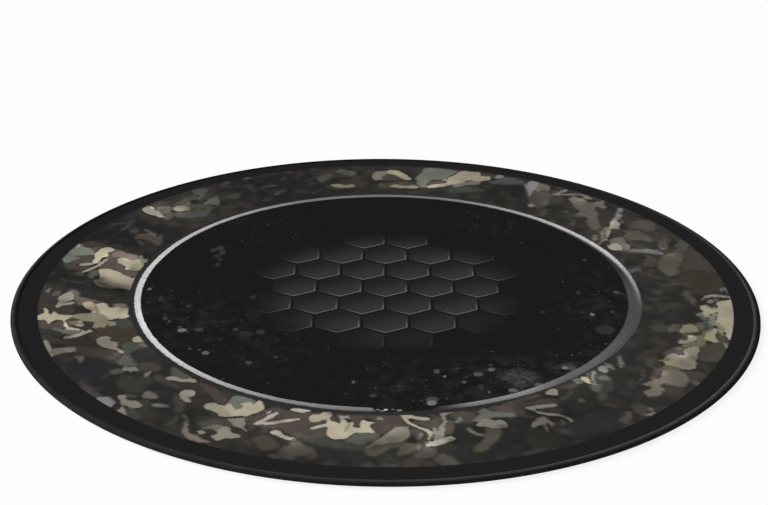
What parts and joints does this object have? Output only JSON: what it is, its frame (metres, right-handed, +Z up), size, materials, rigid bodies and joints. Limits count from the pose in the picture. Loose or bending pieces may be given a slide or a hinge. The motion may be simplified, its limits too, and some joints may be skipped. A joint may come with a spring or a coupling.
{
  "type": "chair mat",
  "caption": "Round floor mat for a swivel chair: camouflage-print cloth bonded to a thin non-slip rubber sheet, with the cut edge wrapped in a rounded overlock seam.",
  "frame": {"origin": "centre of the underside, on the floor", "axes": "+Z up out of the printed face, +Y away from the viewer of the picture, +X to that viewer's right"},
  "size_m": [0.9999, 1, 0.0051],
  "materials": {
    "rubber": "matt black foamed rubber with a fine moulded grip on the underside",
    "adhesive": "milky hot-melt film",
    "printed_cloth": "fine knitted polyester, dye printed with woodland camouflage round a black centre",
    "seam_thread": "black textured polyester thread with a soft sheen",
    "needle_thread": "black spun polyester thread"
  },
  "bodies": {
    "root": {"rubber_base": "rubber", "bonding_film": "adhesive", "printed_cloth": "printed_cloth", "lower_looper_thread": "seam_thread", "upper_looper_thread": "seam_thread", "needle_thread": "needle_thread"}
  },
  "joints": []
}
